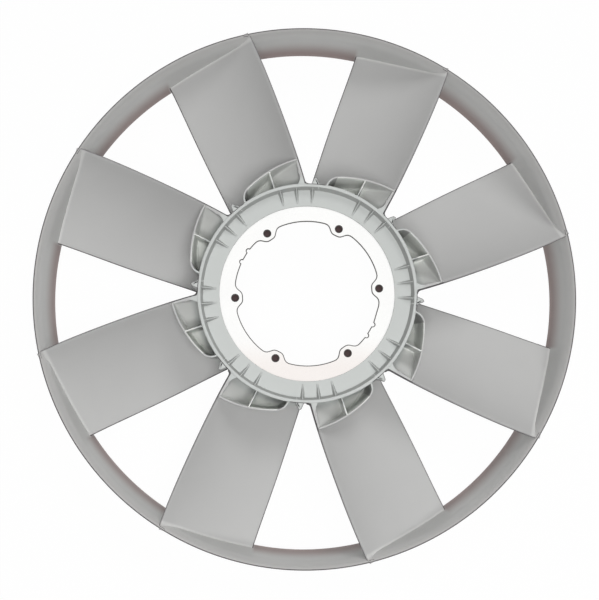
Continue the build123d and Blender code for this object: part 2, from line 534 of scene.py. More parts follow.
def blade_station(share, span):
    """A camber point, the way up from it, its distance in Y and how far off the rim is.

    It lies at a share of the chord and of the span. Each pass brings it nearer to the
    round station that it belongs to, which follows the rim and the ring's wall."""
    distance = SPAN_START + SPAN_LENGTH * span
    for _ in range(STATION_PASSES):
        point = blade_form.point(share, distance)[0]
        radius = between(ROOT_RADIUS, throat_at(point.y) + RING_BITE, span)
        distance = sqrt(radius * radius - point.x ** 2)
    point, up = blade_form.point(share, distance)
    return point, up, distance, radius - RIM_RADIUS


def blade_place(loop, station):
    """Where a point of the blade's skin lies."""
    if loop < FACE_POINTS:
        share, side, swing = loop / CHORD_STEPS, 1.0, 0.0
    elif loop < FACE_POINTS + EDGE_STEPS:
        share, side, swing = 1.0, 1.0, (loop - FACE_POINTS + 1) / (EDGE_STEPS + 1)
    elif loop < 2 * FACE_POINTS + EDGE_STEPS:
        share, side, swing = 1 - (loop - FACE_POINTS - EDGE_STEPS) / CHORD_STEPS, -1.0, 0.0
    else:
        share, side = 0.0, -1.0
        swing = (loop - 2 * FACE_POINTS - EDGE_STEPS + 1) / (EDGE_STEPS + 1)
    point, up, distance, from_rim = blade_station(share, SPAN_SHARES[station])
    half = blade_form.thickness(distance) / 2
    room_below = max(point.y - half - HUB_BACK_HEIGHT, 0.0)
    rise = half + fillet_swell(from_rim, min(ROOT_FILLET, RIM_HEIGHT - point.y))
    drop = half + fillet_swell(from_rim, min(ROOT_FILLET, room_below))
    if swing:
        turn = pi * swing
        reach = rise if cos(turn) * side > 0 else drop
        outward = Vector((up.y, -up.x)) * -side
        offset = up * (side * cos(turn) * reach) + outward * (sin(turn) * half)
    else:
        offset = up * (rise if side > 0 else -drop)
    placed = point + offset
    return (placed.x, distance, min(placed.y, RIM_HEIGHT))


def make_blade_shell():
    """The bare blade, with painted shade round its rear edge and fading from its front edge upwards.
    """
    rear_edge = range(FACE_POINTS, FACE_POINTS + EDGE_STEPS + 1)
    front_edge = range(LOOP_POINTS - EDGE_STEPS - 1, LOOP_POINTS)
    solid_steps = EDGE_STEPS + 1 - len(FRONT_EDGE_SHADE_FADE)
    amounts = dict.fromkeys(rear_edge, 1.0)
    amounts.update(zip(front_edge, [1.0] * solid_steps + FRONT_EDGE_SHADE_FADE))
    return skin("blade", LOOP_POINTS, len(SPAN_SHARES), blade_place,
                lambda loop: amounts.get(loop, 0.0))


# ---------------------------------------------------------------- ribs

RIB_FOOT_STEPS = 5
RIB_WALL_STEPS = 3
RIB_CREST_STEPS = 3
RIB_HALF_FOOT = 1.6

# How deep a rib's outermost loops and its keel are sunk in the ground, the least step
# between the foot's loops under a low crest, and the share of the crest's radius that a
# wall with no room still takes up
RIB_BITE = 0.4
RIB_KEEL = 1.6
LOOP_SPACING = 0.02
SQUEEZED_WALL = 0.6

POCKET_SWEEP_STEPS = 30
POCKET_BEND_STEPS = 14
POCKET_WALL_HALF_TOP = 1.25
POCKET_WALL_FILLET = 3.5

CELL_RIB_ENDS = (149.5, 176.0)
CELL_RIB_STATIONS = 9
CELL_RIB_HALF_TOP = 1.2
CELL_RIB_FILLET = 3.0

GUSSET_ENDS = (125.6, 147.5)
GUSSET_STATIONS = 12
GUSSET_FOOT_HEIGHT = 0.8
GUSSET_DROP = 2.0
GUSSET_HALF_TOP = 0.5
GUSSET_HALF_FEET = (0.9, 3.3)
GUSSET_FILLET = 1.0
GUSSET_CREST = 0.3

EDGE_BAND_ENDS = (139.0, 181.0)
EDGE_BAND_STATIONS = 12
EDGE_BAND_HALF_WIDTHS = (3.1, 1.5)
EDGE_BAND_INSET = 0.2
EDGE_BAND_RISE = 1.4
EDGE_BAND_FILLET = 0.5


def rib(name, path, half_top, half_foot, ground, top, foot, crest=1.0, shaded_side=False):
    """An upright rib along a path in plan, with a rounded crest and a filleted foot.

    Its half widths and its top are functions of the station, and the ground under it is
    one of the place in plan. Where the ground leaves no room for a wall, its loops are
    squeezed under the crest. A keel inside the ground closes each loop. The right-hand
    side, looking along the path, can be marked for painted edge shade."""
    stations = len(path)
    normals = []
    for index in range(stations):
        before, after = path[max(index - 1, 0)], path[min(index + 1, stations - 1)]
        run = Vector(after) - Vector(before)
        normals.append(Vector((-run.y, run.x)).normalized())
    wall_start = RIB_FOOT_STEPS + RIB_WALL_STEPS
    half_loop = wall_start + RIB_CREST_STEPS + 1
    keel = 2 * half_loop

    def place(loop, station):
        centre, normal = Vector(path[station]), normals[station]
        crest_height = top(station)
        wide, narrow = half_foot(station), half_top(station)

        def ground_at(across):
            return ground(*(centre + normal * across))

        if loop == keel:
            return (centre.x, centre.y, ground_at(0.0) - RIB_KEEL)
        left = loop < half_loop
        mirror = 1.0 if left else -1.0
        step = loop if left else keel - 1 - loop
        if step <= RIB_FOOT_STEPS:
            clearance = foot * (1 - step / RIB_FOOT_STEPS)
            across = wide + clearance
            height = ground_at(mirror * across) + fillet_swell(clearance, foot)
            highest = crest_height - LOOP_SPACING * (RIB_FOOT_STEPS + 1 - step)
            height = min(height, highest) - (RIB_BITE if step == 0 else 0.0)
        elif step <= wall_start:
            share = (step - RIB_FOOT_STEPS) / RIB_WALL_STEPS
            across = between(wide, narrow, share)
            low = ground_at(mirror * wide) + foot
            height = between(low, crest_height - crest, share)
            if low > crest_height - crest * (1 + SQUEEZED_WALL):
                height = crest_height - crest * (1 + SQUEEZED_WALL * (1 - share))
        else:
            turn = pi / 2 * (step - wall_start) / RIB_CREST_STEPS
            across = narrow - crest + crest * cos(turn)
            height = crest_height - crest + crest * sin(turn)
        spot = centre + normal * (mirror * across)
        return (spot.x, spot.y, height)

    return skin(name, keel + 1, stations, place, lambda loop: shaded_side and half_loop < loop < keel)


def always(value):
    """A function of the station that keeps one value."""
    return lambda station: value


def make_pocket_wall():
    """The curved wall round the pocket at the blade's root."""
    start, middle, bend, end = rim_points(POCKET_WALL_POINTS)
    sweep = arc_through(start, middle, bend, POCKET_SWEEP_STEPS)
    path = carried_on(sweep, end, POCKET_BEND_STEPS)
    return rib("pocket_wall", path, always(POCKET_WALL_HALF_TOP), always(RIB_HALF_FOOT),
               blade_form.height, always(RIB_HEIGHT), foot=POCKET_WALL_FILLET)


def make_cell_rib():
    """The radial rib that parts the pocket."""
    radii = np.linspace(*CELL_RIB_ENDS, CELL_RIB_STATIONS)
    path = [polar(radius, CELL_RIB_ANGLE) for radius in radii]
    return rib("cell_rib", path, always(CELL_RIB_HALF_TOP), always(RIB_HALF_FOOT),
               blade_form.height, always(RIB_HEIGHT), foot=CELL_RIB_FILLET)


def floor_level(x, y):
    """The height of the hub's sloping floor."""
    share = (hypot(x, y) - WINDOW_RADIUS) / (RIM_INNER_RADIUS - WINDOW_RADIUS)
    return between(WINDOW_HEIGHT, FLOOR_HEIGHT, share)


def make_gusset(angle):
    """A small triangular rib on the hub's floor, widening from its foot to the rim."""
    path = [polar(radius, angle) for radius in np.linspace(*GUSSET_ENDS, GUSSET_STATIONS)]

    def top(station):
        share = station / (GUSSET_STATIONS - 1)
        return between(WINDOW_HEIGHT + GUSSET_FOOT_HEIGHT, RIM_HEIGHT - GUSSET_DROP, share)

    def half_foot(station):
        return between(*GUSSET_HALF_FEET, station / (GUSSET_STATIONS - 1))

    return rib("gusset", path, always(GUSSET_HALF_TOP), half_foot, floor_level, top,
               foot=GUSSET_FILLET, crest=GUSSET_CREST)


def make_edge_band():
    """The flat band along the front edge, from the rim out to the pocket's wall, with painted shade
    on its side towards the front edge.
    """
    distances = np.linspace(*EDGE_BAND_ENDS, EDGE_BAND_STATIONS)
    widths = np.linspace(*EDGE_BAND_HALF_WIDTHS, EDGE_BAND_STATIONS)
    path = [(blade_form.front_reach(distance) - width - EDGE_BAND_INSET, distance)
            for distance, width in zip(distances, widths)]

    def top(station):
        share = station / (EDGE_BAND_STATIONS - 1)
        blade_edge = RING_DEPTH + blade_form.front_rise(distances[station]) + EDGE_BAND_RISE
        return between(RIB_HEIGHT, blade_edge, share ** 3)

    def half(station):
        return float(widths[station])

    return rib("edge_band", path, half, half, blade_form.height, top,
               foot=EDGE_BAND_FILLET, shaded_side=True)


# ---------------------------------------------------------------- webs and nub

EDGE_STRIP = 2.0
WEB_ARC_STEPS = 8

OUTER_TIP_ROUND = 1.8
INNER_TIP_ROUND = 1.6
REAR_WEB_BITE = 2.0
REAR_WEB_BROKEN_EDGE = 1.5

FRONT_WEB_DEPTH = 6.0
FRONT_WEB_BROKEN_EDGE = 1.0

# The nub lies this far from the stacking line and reaches this far past the lip. Its
# corners are (across, outward) points from a centre inset from the lip.
NUB_PLACE = 57.6
NUB_REACH = 1.4
NUB_INSET = 0.6
NUB_CORNERS = ((-1.8, -2.6), (6.0, -2.6), (5.0, 0.4), (-1.0, NUB_REACH + NUB_INSET))
NUB_HEIGHT = 5.0
NUB_DROP = 0.3
NUB_BROKEN_EDGE = 0.6


def prism(name, outline, base, top, broken_edge):
    """An upright block over an outline, with its upper edges broken and a strip under them."""
    clear_selection()
    bpy.ops.mesh.primitive_circle_add(vertices=len(outline), radius=1.0, fill_type="NGON")
    piece = newest(name)
    for vertex, (x, y) in zip(piece.data.vertices, outline):
        vertex.co = (x * MM, y * MM, base * MM)
    bpy.ops.object.mode_set(mode="EDIT")
    bpy.ops.mesh.select_all(action="SELECT")
    for rise in (top - base - EDGE_STRIP, EDGE_STRIP):
        bpy.ops.mesh.extrude_region_move(TRANSFORM_OT_translate={"value": (0, 0, rise * MM)})
    face_outwards()
    bpy.ops.mesh.select_mode(type="FACE")
    bpy.ops.mesh.select_all(action="DESELECT")
    bpy.ops.object.mode_set(mode="OBJECT")
    just_below = (top - NEAR) * MM
    for face in piece.data.polygons:
        face.select = all(piece.data.vertices[index].co.z > just_below for index in face.vertices)
    bpy.ops.object.mode_set(mode="EDIT")
    bpy.ops.mesh.inset(thickness=broken_edge * MM)
    bpy.ops.object.mode_set(mode="OBJECT")
    for vertex in piece.data.vertices:
        if vertex.co.z > just_below and not vertex.select:
            vertex.co.z -= broken_edge / 2 * MM
    return piece


def on_strip(place):
    """Whether a place is on the broken upper edge of a web."""
    return RIB_HEIGHT - EDGE_STRIP + NEAR < place.z < RIB_HEIGHT - NEAR


def make_rear_web():
    """The upright web at the rear edge's root, with its upper edge marked for painted shade."""
    foot, outer_tip, inner_tip, middle, end = rim_points(REAR_WEB_POINTS)
    hollow = arc_through(inner_tip, middle, end, WEB_ARC_STEPS)
    outline = rounded([
        (*foot, 0),
        (*outer_tip, OUTER_TIP_ROUND),
        (*inner_tip, INNER_TIP_ROUND),
        (*hollow[1], 0),
    ]) + hollow[2:]
    base = min(blade_form.height(x, y) for x, y in outline) - REAR_WEB_BITE
    web = prism("rear_web", outline, base, RIB_HEIGHT, REAR_WEB_BROKEN_EDGE)
    mark_edge_shade(web, [on_strip(place) for place in places(web)])
    return web


def make_front_web():
    """The web that runs the front edge out into the rim, marked for painted shade on its side to the
    gap.
    """
    gap_side = arc_through(*rim_points(FRONT_WEB_GAP_SIDE), WEB_ARC_STEPS)
    pocket_side = arc_through(*rim_points(FRONT_WEB_POCKET_SIDE), WEB_ARC_STEPS)
    base = RING_DEPTH - FRONT_WEB_DEPTH
    web = prism("front_web", pocket_side + gap_side, base, RIB_HEIGHT, FRONT_WEB_BROKEN_EDGE)

    def on_gap_side(place):
        return any(hypot(place.x - x, place.y - y) < NEAR for x, y in gap_side)

    mark_edge_shade(web, [on_strip(place) and on_gap_side(place) for place in places(web)])
    return web


def make_tip_nub():
    """The small nub where the front edge runs out through the lip, marked for painted shade on its
    sides.
    """
    centre = Vector((NUB_PLACE, sqrt((LIP_RADIUS - NUB_INSET) ** 2 - NUB_PLACE ** 2)))
    out = centre.normalized()
    side = Vector((-out.y, out.x))
    outline = [tuple(centre + side * across + out * along) for across, along in NUB_CORNERS]
    nub = prism("tip_nub", outline, RING_DEPTH - NUB_HEIGHT, RING_DEPTH - NUB_DROP, NUB_BROKEN_EDGE)
    mark_edge_shade(nub, [place.z < RING_DEPTH - NUB_BROKEN_EDGE for place in places(nub)])
    return nub


# ---------------------------------------------------------------- the whole moulding

def make_moulding():
    """The ring, the hub and eight copies of one blade with its ribs, webs and gussets."""
    sector = [make_blade_shell(), make_pocket_wall(), make_cell_rib()]
    sector += [make_rear_web(), make_edge_band(), make_front_web(), make_tip_nub()]
    sector += [make_gusset(angle) for angle in GUSSET_ANGLES]
    sectors = turned_copies(joined("sector", sector), BLADE_COUNT, TURN_OF_FIRST_BLADE)
    moulding = joined("fan_moulding_body", [make_ring(), make_hub()] + sectors)
    smooth(moulding, PLASTIC_SMOOTH_ANGLE)
    return moulding


# ---------------------------------------------------------------- plate

SHEARED_EDGE = 1.2
BLANK_STEPS = 180
HOLE_STEPS = 32
BORE_STEP_ANGLE = 2.5
LUG_LEAD_ANGLE = 5.0
NICK_HALF_TURN = 100.0
NICK_POINTS = 11


def bolt_angles():
    """The angles of the bolt holes, anticlockwise from +X."""
    return [BOLT_START_ANGLE + 360.0 * index / BOLT_COUNT for index in range(BOLT_COUNT)]


def circle_points(radius, steps, centre=(0.0, 0.0)):
    """Points round a circle."""
    spokes = [at_angle(radius, 360.0 * step / steps) for step in range(steps)]
    return [(centre[0] + x, centre[1] + y) for x, y in spokes]


def lug_points(angle):
    """The inward swelling of the bore round one bolt hole."""
    tip_radius = BORE_RADIUS - LUG_REACH
    return rounded([
        (*at_angle(BORE_RADIUS, angle - LUG_FOOT_HALF_ANGLE - LUG_LEAD_ANGLE), 0),
        (*at_angle(BORE_RADIUS, angle - LUG_FOOT_HALF_ANGLE), LUG_ROUND),
        (*at_angle(tip_radius, angle - LUG_TIP_HALF_ANGLE), LUG_ROUND),
        (*at_angle(tip_radius, angle + LUG_TIP_HALF_ANGLE), LUG_ROUND),
        (*at_angle(BORE_RADIUS, angle + LUG_FOOT_HALF_ANGLE), LUG_ROUND),
        (*at_angle(BORE_RADIUS, angle + LUG_FOOT_HALF_ANGLE + LUG_LEAD_ANGLE), 0),
    ])


def nick_points(angle):
    """A small round nick cut outwards into the bore."""
    centre = Vector(at_angle(BORE_RADIUS + NICK_DEPTH, angle))
    turns = np.linspace(-NICK_HALF_TURN, NICK_HALF_TURN, NICK_POINTS)
    return [tuple(centre + Vector(at_angle(NICK_RADIUS, angle + turn))) for turn in turns]


def bore_points():
    """The scalloped bore, once round."""
    features = [(angle, lug_points) for angle in bolt_angles()]
    features += [((angle + side) % 360.0, nick_points)
                 for angle in NICK_ANGLES for side in (0.0, 180.0)]
    points = []
    for angle, shape in sorted(features, key=lambda feature: feature[0]):
        made = shape(angle)
        if points:
            before = degrees(atan2(points[-1][1], points[-1][0]))
            ahead = (degrees(atan2(made[0][1], made[0][0])) - before) % 360.0
            steps = int(ahead / BORE_STEP_ANGLE)
            points += [at_angle(BORE_RADIUS, turn)
                       for turn in np.linspace(before, before + ahead, steps + 2)[1:-1]]
        points += made
    return points


def add_outline(curve, points):
    """Adds a closed outline to a flat curve."""
    spline = curve.splines.new("POLY")
    spline.points.add(len(points) - 1)
    for place, (x, y) in zip(spline.points, points):
        place.co = (x * MM, y * MM, 0.0, 1.0)
    spline.use_cyclic_u = True


def make_plate():
    """The sheet metal ring, cut with a bore and bolt holes, with its sheared edges broken."""
    curve = bpy.data.curves.new("mounting_ring", "CURVE")
    curve.dimensions = "2D"
    curve.fill_mode = "BOTH"
    add_outline(curve, circle_points(PLATE_RADIUS, BLANK_STEPS))
    add_outline(curve, bore_points())
    for angle in bolt_angles():
        centre = at_angle(BOLT_CIRCLE_RADIUS, angle)
        add_outline(curve, circle_points(BOLT_HOLE_RADIUS, HOLE_STEPS, centre))
    edge = SHEARED_EDGE * MM
    curve.bevel_depth = edge
    curve.bevel_resolution = 0
    curve.offset = -edge
    curve.extrude = (PLATE_TOP - PLATE_BASE) / 2 * MM - edge
    plate = bpy.data.objects.new("mounting_ring", curve)
    bpy.context.scene.collection.objects.link(plate)
    pick(plate)
    bpy.ops.object.convert(target="MESH")
    plate = name_piece(bpy.context.object, "mounting_ring")
    plate.location.z = (PLATE_TOP + PLATE_BASE) / 2 * MM
    bpy.ops.object.transform_apply(location=True, rotation=False, scale=False)
    bpy.ops.object.mode_set(mode="EDIT")
    face_outwards(weld=True)
    bpy.ops.object.mode_set(mode="OBJECT")
    smooth(plate, METAL_SMOOTH_ANGLE)
    return plate


# ---------------------------------------------------------------- nodes

def feed(tree, socket, source):
    """Gives an input its source: the output of another node, or a plain value."""
    if isinstance(source, bpy.types.NodeSocket):
        tree.links.new(source, socket)
    else:
        socket.default_value = source


def node(tree, kind, label, x, y, inputs=None, **settings):
    """A node with its settings, and with inputs fed by name or number."""
    made = tree.nodes.new(kind)
    made.label = label
    made.location = (x, y)
    for key, value in settings.items():
        setattr(made, key, value)
    for key, source in (inputs or {}).items():
        feed(tree, made.inputs[key], source)
    return made


def math_node(tree, label, operation, x, y, *sources):
    """A maths node fed by sockets and plain numbers."""
    made = node(tree, "ShaderNodeMath", label, x, y, dict(enumerate(sources)), operation=operation)
    return made.outputs[0]


def range_node(tree, label, x, y, source, start, end, low=0.0, high=1.0,
               kind="LINEAR", clamp=True):
    """A range mapped to another."""
    limits = {"Value": source, "From Min": start, "From Max": end, "To Min": low, "To Max": high}
    made = node(tree, "ShaderNodeMapRange", label, x, y, limits, interpolation_type=kind, clamp=clamp)
    return made.outputs[0]


def fade(tree, label, x, y, source, start, end, unit, low=0.0):
    """A smooth step from low to 1, between start and end in the unit given."""
    return range_node(tree, label, x, y, source, start * unit, end * unit, low, kind="SMOOTHSTEP")


def mix_node(tree, label, x, y, share, first, second, blend="MIX"):
    """Two colours mixed by the share of the second, or multiplied."""
    sources = {"Factor": share, "A": first, "B": second}
    made = node(tree, "ShaderNodeMix", label, x, y, sources, data_type="RGBA", blend_type=blend)
    return made.outputs["Result"]


def split_node(tree, label, x, y, vector):
    """The X, Y and Z of a vector, as outputs."""
    return node(tree, "ShaderNodeSeparateXYZ", label, x, y, {0: vector}).outputs


def new_group(name, inputs, outputs):
    """A node group, what it is given and what it puts out. An input with no value is a point."""
    group = bpy.data.node_groups.new(name, "ShaderNodeTree")
    for label, default in inputs.items():
        kind = "NodeSocketVector" if default is None else "NodeSocketFloat"
        socket = group.interface.new_socket(name=label, in_out="INPUT", socket_type=kind)
        if default is not None:
            socket.default_value = default
    for label in outputs:
        group.interface.new_socket(name=label, in_out="OUTPUT", socket_type="NodeSocketFloat")
    start = node(group, "NodeGroupInput", "in", -1500, 0)
    end = node(group, "NodeGroupOutput", "out", 700, 0)
    return group, start.outputs, end.inputs


def drift_group():
    """Slow and fine variation over a surface, read from a point in metres."""
    sockets = {"Point": None, "Cloud Scale": 14.0, "Grain Scale": 900.0, "Depth": 0.06}
    group, given, wanted = new_group("surface_drift", sockets, ("Shade", "Grain"))
    clouds = node(group, "ShaderNodeTexNoise", "clouds", -400, 150, {
        "Vector": given["Point"], "Scale": given["Cloud Scale"], "Detail": 3.0, "Roughness": 0.55})
    grain = node(group, "ShaderNodeTexNoise", "grain", -400, -150, {
        "Vector": given["Point"], "Scale": given["Grain Scale"], "Detail": 2.0})
    cloud = clouds.outputs["Fac"]
    shade = math_node(group, "about nought", "SUBTRACT", -150, 150, cloud, 0.5)
    shade = math_node(group, "by depth", "MULTIPLY", 50, 150, shade, given["Depth"])
    shade = math_node(group, "about one", "ADD", 250, 150, shade, 1.0)
    feed(group, wanted["Shade"], shade)
    feed(group, wanted["Grain"], grain.outputs["Fac"])
    return group


# Where the pocket fades out at its walls, in millimetres, and where it and the gaps begin
# and end, in degrees from the stacking line. The pocket gets painted light, its front cell only a
# share of it.
POCKET_WALL_FADE = (-0.2, 1.0)
POCKET_RIM_FADE = (-0.2, 0.6)
POCKET_FRONT_FADE = (-17.6, -16.8)
DEEP_CELL_FADE = (-8.0, -1.0)
FRONT_CELL_SHARE = 0.30
FRONT_GAP_FADE = (-8.2, -9.0)
REAR_GAP_FADE = (10.8, 11.8)


def sector_group():
    """Shares of being in a blade's root pocket, and of being in the gap between two blades."""
    group, given, wanted = new_group("blade_sector", {"Point": None}, ("Pocket", "Gap"))
    point = split_node(group, "split", -1300, 0, given["Point"])
    x, y = point["X"], point["Y"]

    turn = math_node(group, "angle", "ARCTAN2", -1100, 100, y, x)
    first_blade = radians(90.0 + TURN_OF_FIRST_BLADE)
    half_sector = pi / BLADE_COUNT
    turn = math_node(group, "from first blade", "SUBTRACT", -900, 100, turn, first_blade)
    angle = math_node(group, "from nearest blade", "WRAP", -700, 100, turn, half_sector, -half_sector)
    squares = math_node(group, "x squared", "MULTIPLY", -1100, -150, x, x)
    squares = math_node(group, "with y", "MULTIPLY_ADD", -900, -150, y, y, squares)
    radius = math_node(group, "radius", "SQRT", -700, -150, squares)
    outside = math_node(group, "outside the rim", "SUBTRACT", -500, -150, radius, RIM_RADIUS * MM)

    (far, front_angle), _, (near, bend_angle), (_, end_angle) = POCKET_WALL_POINTS
    sweep = range_node(group, "sweep", -500, 250, angle, front_angle * DEGREE, bend_angle * DEGREE,
                       far * MM, near * MM, clamp=False)
    bend = range_node(group, "bend", -500, 0, angle, bend_angle * DEGREE, end_angle * DEGREE,
                      near * MM, 0.0, clamp=False)
    wall = math_node(group, "wall", "MINIMUM", -300, 150, sweep, bend)
    room = math_node(group, "room to the wall", "SUBTRACT", -100, 50, wall, outside)

    in_wall = fade(group, "inside the wall", 100, 150, room, *POCKET_WALL_FADE, MM)
    past_rim = fade(group, "past the rim", 100, -50, outside, *POCKET_RIM_FADE, MM)
    in_front = fade(group, "behind the edge", 100, -300, angle, *POCKET_FRONT_FADE, DEGREE)
    deeper = fade(group, "deeper cell", 100, -550, angle, *DEEP_CELL_FADE, DEGREE, FRONT_CELL_SHARE)
    inside = math_node(group, "walls", "MULTIPLY", 300, 50, in_wall, past_rim)
    inside = math_node(group, "all round", "MULTIPLY", 500, 0, inside, in_front)
    inside = math_node(group, "by depth", "MULTIPLY", 500, -200, inside, deeper)

    over_front = fade(group, "before the blade", -300, -500, angle, *FRONT_GAP_FADE, DEGREE)
    over_rear = fade(group, "behind the blade", -300, -750, angle, *REAR_GAP_FADE, DEGREE)
    gap = math_node(group, "gap", "MAXIMUM", 500, -500, over_front, over_rear)
    feed(group, wanted["Pocket"], inside)
    feed(group, wanted["Gap"], gap)
    return group


# ---------------------------------------------------------------- materials

def new_material(name):
    """A material with its node tree and its Principled shader."""
    material = bpy.data.materials.new(name)
    material.use_nodes = True
    return material, material.node_tree, material.node_tree.nodes["Principled BSDF"]


PLASTIC_COLOUR = (0.474, 0.474, 0.469, 1.0)
HUB_COLOUR = (0.530, 0.549, 0.536, 1.0)
# Painted shade on the hub's upright faces
HUB_WALL_SHADE_COLOUR = (0.370, 0.380, 0.370, 1.0)
# Painted light inside the root pockets
POCKET_LIGHT_COLOUR = (0.910, 0.930, 0.890, 1.0)
# Painted light: the ring's wall is paler than the blades, while its lip keeps about their tone
RING_WALL_LIT_COLOUR = (0.600, 0.600, 0.590, 1.0)
LIP_COLOUR = (0.480, 0.474, 0.466, 1.0)
# Painted shade, darker and browner low on the ring's inner wall
LOW_WALL_SHADE_COLOUR = (0.270, 0.200, 0.190, 1.0)
# Painted shade on marked outer edges and turns
EDGE_SHADE_COLOUR = (0.170, 0.155, 0.165, 1.0)
WHITE = (1.0, 1.0, 1.0, 1.0)

# Where one colour of the plastic fades into the next, in millimetres from the axis or, for
# the painted shade low on the wall, above the floor
HUB_FADE = (RIM_RADIUS + 13.0, RIM_RADIUS + 5.0)
RING_FADE = (THROAT_RADIUS - 4.5, THROAT_RADIUS - 0.5)
LIP_FADE = (THROAT_RADIUS + 0.5, THROAT_RADIUS + 5.0)
INNER_SIDE_FADE = (THROAT_RADIUS + 2.0, THROAT_RADIUS + 1.0)
LOW_WALL_SHADE_FADE = (60.0, 10.0)

# The upward shares of normals that lead from upright faces, which in the hub get painted
# shade, to level ones, and the grain's values with the roughness that they stand for
LEVEL_NORMALS = (0.35, 0.75)
GRAIN_VALUES = (0.3, 0.7)
PLASTIC_ROUGHNESS = (0.46, 0.56)


def plastic_material(drift, sector):
    """Natural grey moulded plastic, with painted shade that makes it darker and browner low down
    inside the ring, dark on its edges and darker on the hub's upright faces.

    Painted light makes the ring's wall and the root pockets paler, the pockets as if light came
    through their thin walls."""
    material, tree, shader = new_material("moulded_plastic")
    place = node(tree, "ShaderNodeTexCoord", "place", -1300, 0).outputs["Object"]
    tone = node(tree, "ShaderNodeGroup", "tone", -1000, 250, {
        "Point": place, "Cloud Scale": 11.0, "Grain Scale": 1400.0, "Depth": 0.07,
    }, node_tree=drift).outputs
    part = node(tree, "ShaderNodeGroup", "pocket or gap", -1000, 500, {"Point": place},
                node_tree=sector).outputs
    height = split_node(tree, "split", -1000, -100, place)["Z"]
    in_plan = node(tree, "ShaderNodeVectorMath", "in plan", -1000, -350,
                   {0: place, 1: (1.0, 1.0, 0.0)}, operation="MULTIPLY").outputs[0]
    radius = node(tree, "ShaderNodeVectorMath", "radius", -750, -350, {0: in_plan},
                  operation="LENGTH").outputs["Value"]
    facing = node(tree, "ShaderNodeNewGeometry", "facing", -1100, -850).outputs["Normal"]
    upward = split_node(tree, "facing up", -900, -850, facing)["Z"]

    lip = fade(tree, "at the lip", -1100, 300, radius, *LIP_FADE, MM)
    ring = fade(tree, "at the ring", -500, -350, radius, *RING_FADE, MM)
    hub = fade(tree, "in the hub", -500, -600, radius, *HUB_FADE, MM)
    level = fade(tree, "level or upright", -700, -850, upward, *LEVEL_NORMALS, 1.0)
    # Painted light on the ring's wall; the lip keeps about the blades' tone.
    lit_ring_part = mix_node(tree, "wall or lip", -900, 300, lip, RING_WALL_LIT_COLOUR, LIP_COLOUR)
    # Painted shade: the hub's upright faces are darker than its level ones.
    shaded_hub = mix_node(tree, "wall or floor of the hub", -500, -850, level,
                        HUB_WALL_SHADE_COLOUR, HUB_COLOUR)
    colour = mix_node(tree, "blade or ring", -700, 200, ring, PLASTIC_COLOUR, lit_ring_part)
    # Painted light: the root pockets are paler inside, the front cell by a share only.
    colour = mix_node(tree, "blade or pocket", -500, 200, part["Pocket"], colour, POCKET_LIGHT_COLOUR)
    colour = mix_node(tree, "hub or blades", -300, 0, hub, colour, shaded_hub)

    inner_side = fade(tree, "inner side", -650, -500, radius, *INNER_SIDE_FADE, MM)
    inner_side = math_node(tree, "of the ring", "MULTIPLY", -500, -500, inner_side, ring)
    in_gap_wall = math_node(tree, "wall of a gap", "MULTIPLY", -400, -300, inner_side, part["Gap"])
    # Painted shade: the ring's inner wall in the gaps darkens and browns towards the floor.
    low = fade(tree, "low in the ring", -750, -100, height, *LOW_WALL_SHADE_FADE, MM)
    low_wall_shade = math_node(tree, "low wall", "MULTIPLY", -300, -200, low, in_gap_wall)
    colour = mix_node(tree, "plastic or low wall", -100, 0, low_wall_shade, colour, LOW_WALL_SHADE_COLOUR)

    # Painted shade: marked outer edges and turns are darkened towards the edge colour.
    edge = node(tree, "ShaderNodeAttribute", "outer edge", -1000, -600, attribute_name="painted_edge_shade")
    turn_shade = mix_node(tree, "dark turn", 100, -100, edge.outputs["Fac"], WHITE, EDGE_SHADE_COLOUR)
    colour = mix_node(tree, "with tone", 100, 150, 1.0, colour, tone["Shade"], "MULTIPLY")
    colour = mix_node(tree, "with dark turn", 300, 150, 1.0, colour, turn_shade, "MULTIPLY")
    rough = range_node(tree, "roughness", -100, 400, tone["Grain"], *GRAIN_VALUES, *PLASTIC_ROUGHNESS)
    bump = node(tree, "ShaderNodeBump", "moulded grain", 100, -300, {
        "Height": tone["Grain"], "Strength": 0.10, "Distance": 0.0004})
    feed(tree, shader.inputs["Base Color"], colour)
    feed(tree, shader.inputs["Roughness"], rough)
    feed(tree, shader.inputs["Normal"], bump.outputs[0])
    feed(tree, shader.inputs["IOR"], 1.48)
    return material


BRIGHT_ZINC_COLOUR = (0.985, 0.985, 0.975, 1.0)
# Painted reflection on the plate's near side
REFLECTED_ZINC_COLOUR = (0.935, 0.890, 0.862, 1.0)
BARE_EDGE_COLOUR = (0.100, 0.095, 0.090, 1.0)
REFLECTION_SIDE_FADE = (-55.0, -105.0)
BARE_EDGE_NORMALS = (0.96, 0.78)
METAL_ROUGHNESS = (0.26, 0.42)
ROLLED_STRETCH = (0.08, 1.0, 1.0)


